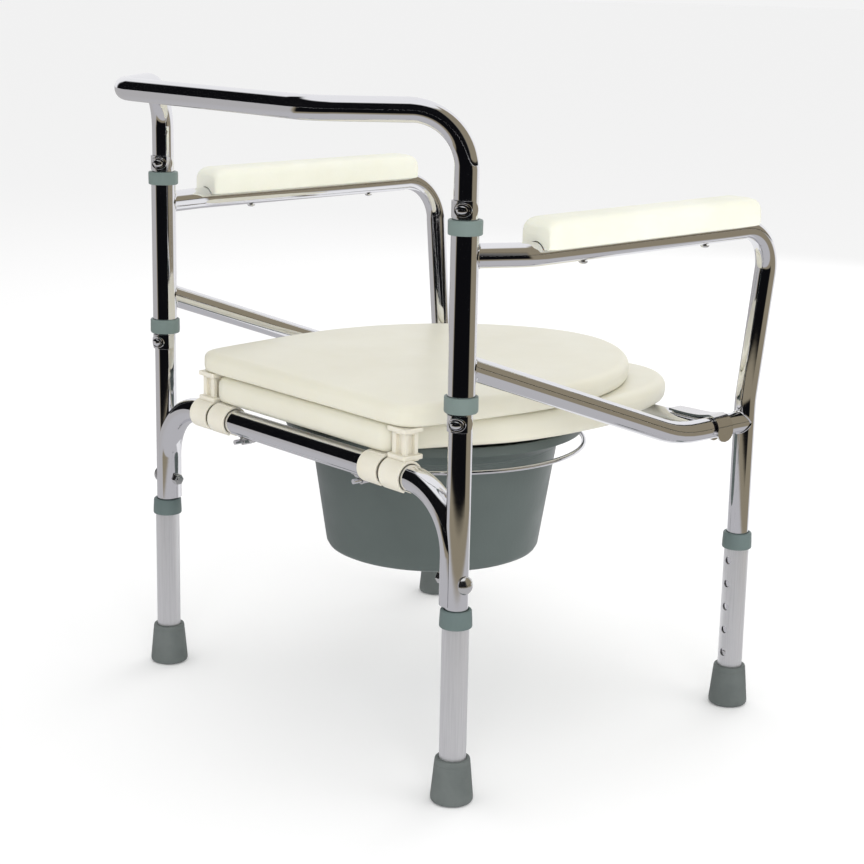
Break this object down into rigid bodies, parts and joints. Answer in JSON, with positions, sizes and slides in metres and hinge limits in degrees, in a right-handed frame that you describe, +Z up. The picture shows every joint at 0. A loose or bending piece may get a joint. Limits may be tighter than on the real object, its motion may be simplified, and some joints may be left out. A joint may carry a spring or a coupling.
{
  "type": "commode chair",
  "caption": "Chromed tubular commode chair with hinged seat and lid, lift-out pail on a wire ring, padded arms and height-adjustable legs",
  "frame": {"origin": "centre of the bottom of the object's box, on the floor", "axes": "+Z up; the sitter faces -Y, so the backrest is on the +Y side; +X is the sitter's left"},
  "size_m": [0.558, 0.5459, 0.6479],
  "materials": {
    "chrome": "mirror-bright chromium plate",
    "satin_tube": "satin anodised, fine lengthwise drawing marks",
    "fastener": "bright zinc plate",
    "bush": "grey-green moulded plastic",
    "foot": "dull moulded rubber",
    "seat": "ivory blow-moulded plastic, soft sheen",
    "clamp": "ivory injection-moulded plastic",
    "arm_pad": "cream self-skinning foam, fine grain",
    "pail": "dark grey moulded plastic"
  },
  "bodies": {
    "frame": {"rear_frame_tube": "chrome", "seat_crossbar": "chrome", "front_crossbar": "chrome", "pail_ring": "chrome", "sleeve_left": "chrome", "arm_leg_tube_left": "chrome", "brace_tube_left": "chrome", "crossbar_hook_left": "chrome", "upper_clip_left": "chrome", "lower_clip_left": "chrome", "ring_clip_left": "chrome", "frame_bolt_left": "fastener", "frame_nut_left": "fastener", "ring_screw_left": "fastener", "pad_screw_left_1": "fastener", "pad_screw_left_2": "fastener", "upper_bush_left": "bush", "lower_bush_left": "bush", "arm_pad_left": "arm_pad", "sleeve_right": "chrome", "arm_leg_tube_right": "chrome", "brace_tube_right": "chrome", "crossbar_hook_right": "chrome", "upper_clip_right": "chrome", "lower_clip_right": "chrome", "ring_clip_right": "chrome", "frame_bolt_right": "fastener", "frame_nut_right": "fastener", "ring_screw_right": "fastener", "pad_screw_right_1": "fastener", "pad_screw_right_2": "fastener", "upper_bush_right": "bush", "lower_bush_right": "bush", "arm_pad_right": "arm_pad"},
    "seat": {"seat_ring": "seat", "seat_clamp_left": "clamp", "seat_clamp_right": "clamp"},
    "lid": {"lid": "seat", "lid_hinge_left": "clamp", "lid_hinge_right": "clamp"},
    "pail": {"pail": "pail"},
    "leg_rear_left": {"leg_extension_rear_left": "satin_tube", "leg_collar_rear_left": "bush", "rubber_foot_rear_left": "foot"},
    "button_rear_left": {"snap_button_rear_left": "fastener"},
    "leg_rear_right": {"leg_extension_rear_right": "satin_tube", "leg_collar_rear_right": "bush", "rubber_foot_rear_right": "foot"},
    "button_rear_right": {"snap_button_rear_right": "fastener"},
    "leg_front_left": {"leg_extension_front_left": "satin_tube", "leg_collar_front_left": "bush", "rubber_foot_front_left": "foot"},
    "button_front_left": {"snap_button_front_left": "fastener"},
    "leg_front_right": {"leg_extension_front_right": "satin_tube", "leg_collar_front_right": "bush", "rubber_foot_front_right": "foot"},
    "button_front_right": {"snap_button_front_right": "fastener"}
  },
  "joints": [
    {"name": "seat_hinge", "type": "hinge", "parent": "frame", "child": "seat", "pos_m": [0, 0.157, 0.297], "axis": [-1, 0, 0], "range_deg": [0, 93]},
    {"name": "lid_hinge", "type": "hinge", "parent": "seat", "child": "lid", "pos_m": [0, 0.157, 0.297], "axis": [1, 0, 0], "range_deg": [-93, 0]},
    {"name": "pail_lift", "type": "slide", "parent": "frame", "child": "pail", "axis": [0, 0, 1], "range_m": [0, 0.009]},
    {"name": "leg_height_rear_left", "type": "slide", "parent": "frame", "child": "leg_rear_left", "axis": [0, 0, 1], "range_m": [-0.1016, 0]},
    {"name": "leg_height_rear_right", "type": "slide", "parent": "frame", "child": "leg_rear_right", "axis": [0, 0, 1], "range_m": [-0.1016, 0]},
    {"name": "leg_height_front_left", "type": "slide", "parent": "frame", "child": "leg_front_left", "axis": [0, 0, 1], "range_m": [-0.1016, 0]},
    {"name": "leg_height_front_right", "type": "slide", "parent": "frame", "child": "leg_front_right", "axis": [0, 0, 1], "range_m": [-0.1016, 0]},
    {"name": "button_rear_left_press", "type": "slide", "parent": "frame", "child": "button_rear_left", "axis": [0, 1, 0], "range_m": [0, 0.003], "stiffness_N_per_m": 1500, "springref_m": -0.002},
    {"name": "button_rear_right_press", "type": "slide", "parent": "frame", "child": "button_rear_right", "axis": [0, 1, 0], "range_m": [0, 0.003], "stiffness_N_per_m": 1500, "springref_m": -0.002},
    {"name": "button_front_left_press", "type": "slide", "parent": "frame", "child": "button_front_left", "axis": [0, -1, 0], "range_m": [0, 0.003], "stiffness_N_per_m": 1500, "springref_m": -0.002},
    {"name": "button_front_right_press", "type": "slide", "parent": "frame", "child": "button_front_right", "axis": [0, -1, 0], "range_m": [0, 0.003], "stiffness_N_per_m": 1500, "springref_m": -0.002}
  ]
}
